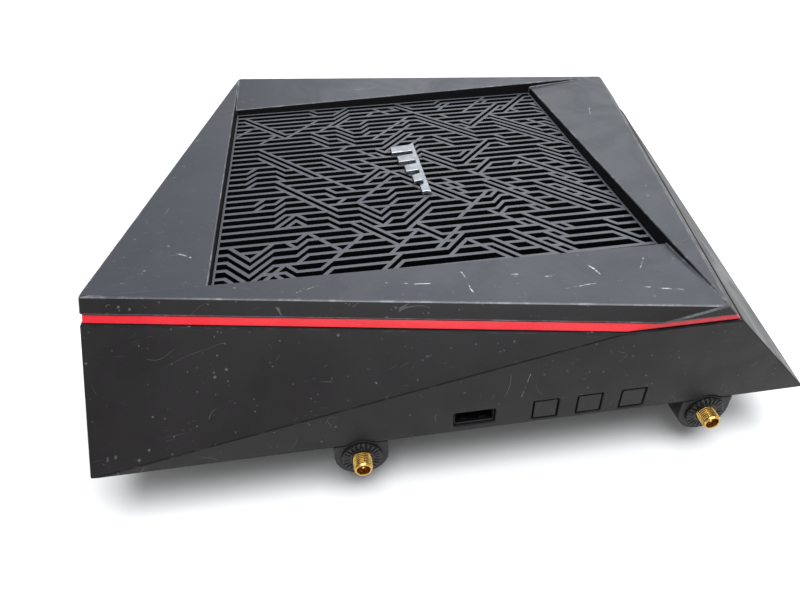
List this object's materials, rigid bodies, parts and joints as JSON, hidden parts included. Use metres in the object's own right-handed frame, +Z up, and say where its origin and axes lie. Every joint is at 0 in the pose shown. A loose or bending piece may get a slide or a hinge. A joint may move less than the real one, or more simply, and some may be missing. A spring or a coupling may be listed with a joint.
{
  "type": "wireless router",
  "caption": "Square desktop wireless router with a louvred top grille in a pinwheel-shaped housing, threaded antenna sockets round its sides, ports and push buttons.",
  "frame": {"origin": "on the floor under the centre of the square body", "axes": "+Z up; -Y is the near side with the USB port and three buttons; +X is the front, from which the badge reads"},
  "size_m": [0.2572, 0.2572, 0.065],
  "materials": {
    "cover": "satin, blue-grey",
    "grille": "satin, grey",
    "badge": "polished",
    "trim": "gloss, red",
    "skirt": "fine satin, near black",
    "base": "fine texture, black",
    "button": "satin, black",
    "foot_rubber": "matt",
    "brass": "gold plated",
    "ring": "satin, black",
    "screw": "zinc plated",
    "board": "solder mask",
    "heat_sink": "black anodised",
    "port_shell": "nickel plated",
    "jack": "moulded, black",
    "switch": "moulded, black",
    "lead": "extruded jacket",
    "lens": "clear diffuse"
  },
  "bodies": {
    "housing": {"top_cover": "cover", "top_grille": "grille", "badge": "badge", "red_trim": "trim", "side_housing": "skirt", "bottom_cover": "base", "main_board": "board", "heat_sink": "heat_sink", "socket_rail_near": "base", "foot_near": "foot_rubber", "housing_screw_near": "screw", "antenna_socket_near_1": "brass", "detent_ring_near_1": "ring", "antenna_lead_near_1": "lead", "antenna_socket_near_2": "brass", "detent_ring_near_2": "ring", "antenna_lead_near_2": "lead", "socket_rail_front": "base", "foot_front": "foot_rubber", "housing_screw_front": "screw", "antenna_socket_front_1": "brass", "detent_ring_front_1": "ring", "antenna_lead_front_1": "lead", "antenna_socket_front_2": "brass", "detent_ring_front_2": "ring", "antenna_lead_front_2": "lead", "socket_rail_far": "base", "foot_far": "foot_rubber", "housing_screw_far": "screw", "antenna_socket_far_1": "brass", "detent_ring_far_1": "ring", "antenna_lead_far_1": "lead", "antenna_socket_far_2": "brass", "detent_ring_far_2": "ring", "antenna_lead_far_2": "lead", "socket_rail_rear": "base", "foot_rear": "foot_rubber", "housing_screw_rear": "screw", "antenna_socket_rear_1": "brass", "detent_ring_rear_1": "ring", "antenna_lead_rear_1": "lead", "antenna_socket_rear_2": "brass", "detent_ring_rear_2": "ring", "antenna_lead_rear_2": "lead", "led_switch": "switch", "wifi_switch": "switch", "wps_switch": "switch", "power_switch": "switch", "reset_switch": "switch", "usb3_port": "port_shell", "usb2_port": "port_shell", "status_lens": "lens", "lan_port_block": "jack", "wan_port": "jack", "dc_jack": "jack"},
    "led_button": {"led_button": "button"},
    "wifi_button": {"wifi_button": "button"},
    "wps_button": {"wps_button": "button"},
    "power_button": {"power_button": "button"},
    "reset_button": {"reset_button": "button"}
  },
  "joints": [
    {"name": "led_button_press", "type": "slide", "parent": "housing", "child": "led_button", "axis": [0, 1, 0], "range_m": [0, 0.0008], "stiffness_N_per_m": 400, "springref_m": -0.0005},
    {"name": "wifi_button_press", "type": "slide", "parent": "housing", "child": "wifi_button", "axis": [0, 1, 0], "range_m": [0, 0.0008], "stiffness_N_per_m": 400, "springref_m": -0.0005},
    {"name": "wps_button_press", "type": "slide", "parent": "housing", "child": "wps_button", "axis": [0, 1, 0], "range_m": [0, 0.0008], "stiffness_N_per_m": 400, "springref_m": -0.0005},
    {"name": "power_button_press", "type": "slide", "parent": "housing", "child": "power_button", "axis": [1, 0, 0], "range_m": [0, 0.0016], "stiffness_N_per_m": 300, "springref_m": -0.001},
    {"name": "reset_button_press", "type": "slide", "parent": "housing", "child": "reset_button", "axis": [1, 0, 0], "range_m": [0, 0.0005], "stiffness_N_per_m": 400, "springref_m": -0.0005}
  ]
}
